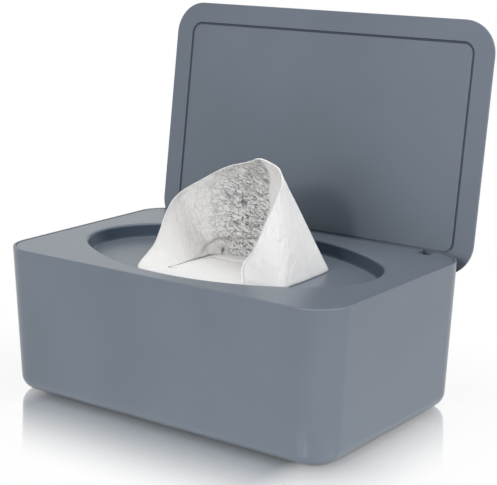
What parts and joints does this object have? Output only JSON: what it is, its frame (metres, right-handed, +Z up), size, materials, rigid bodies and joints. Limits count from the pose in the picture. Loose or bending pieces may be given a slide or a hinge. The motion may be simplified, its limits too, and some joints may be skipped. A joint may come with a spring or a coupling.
{
  "type": "countertop wipes dispenser",
  "caption": "Rectangular countertop wipes box with an oval well, a soft dispensing slot, a folded wipe standing up out of it and a flip lid hinged at the rear.",
  "frame": {"origin": "middle of the footprint, on the plane that the feet rest on", "axes": "+Z up; -Y towards the user, the lid's hinge along the rear edge at +Y; X along the box's length"},
  "size_m": [0.19, 0.1455, 0.1834],
  "materials": {
    "slate_plastic": "fine satin",
    "lip_silicone": "soft matte",
    "seal_silicone": "soft matte",
    "foot_rubber": "matte",
    "pin_steel": "drawn",
    "wipe_cloth": "embossed nonwoven"
  },
  "bodies": {
    "base": {"body_tub": "slate_plastic", "foot_front_left": "foot_rubber", "foot_front_right": "foot_rubber", "foot_rear_left": "foot_rubber", "foot_rear_right": "foot_rubber", "wipes_stack": "wipe_cloth"},
    "deck": {"deck_cover": "slate_plastic", "deck_gasket": "seal_silicone", "dispensing_lip": "lip_silicone", "hinge_pin_left": "pin_steel", "hinge_pin_right": "pin_steel", "pulled_wipe": "wipe_cloth"},
    "lid": {"lid_shell": "slate_plastic", "lid_liner": "slate_plastic", "lid_seal": "seal_silicone"}
  },
  "joints": [
    {"name": "deck_lift", "type": "slide", "parent": "base", "child": "deck", "axis": [0, 0, 1], "range_m": [0, 0.035]},
    {"name": "lid_hinge", "type": "hinge", "parent": "deck", "child": "lid", "pos_m": [0, 0.0569, 0.0669], "axis": [1, 0, 0], "range_deg": [0, 97.6], "deforming": ["pulled_wipe"]}
  ]
}
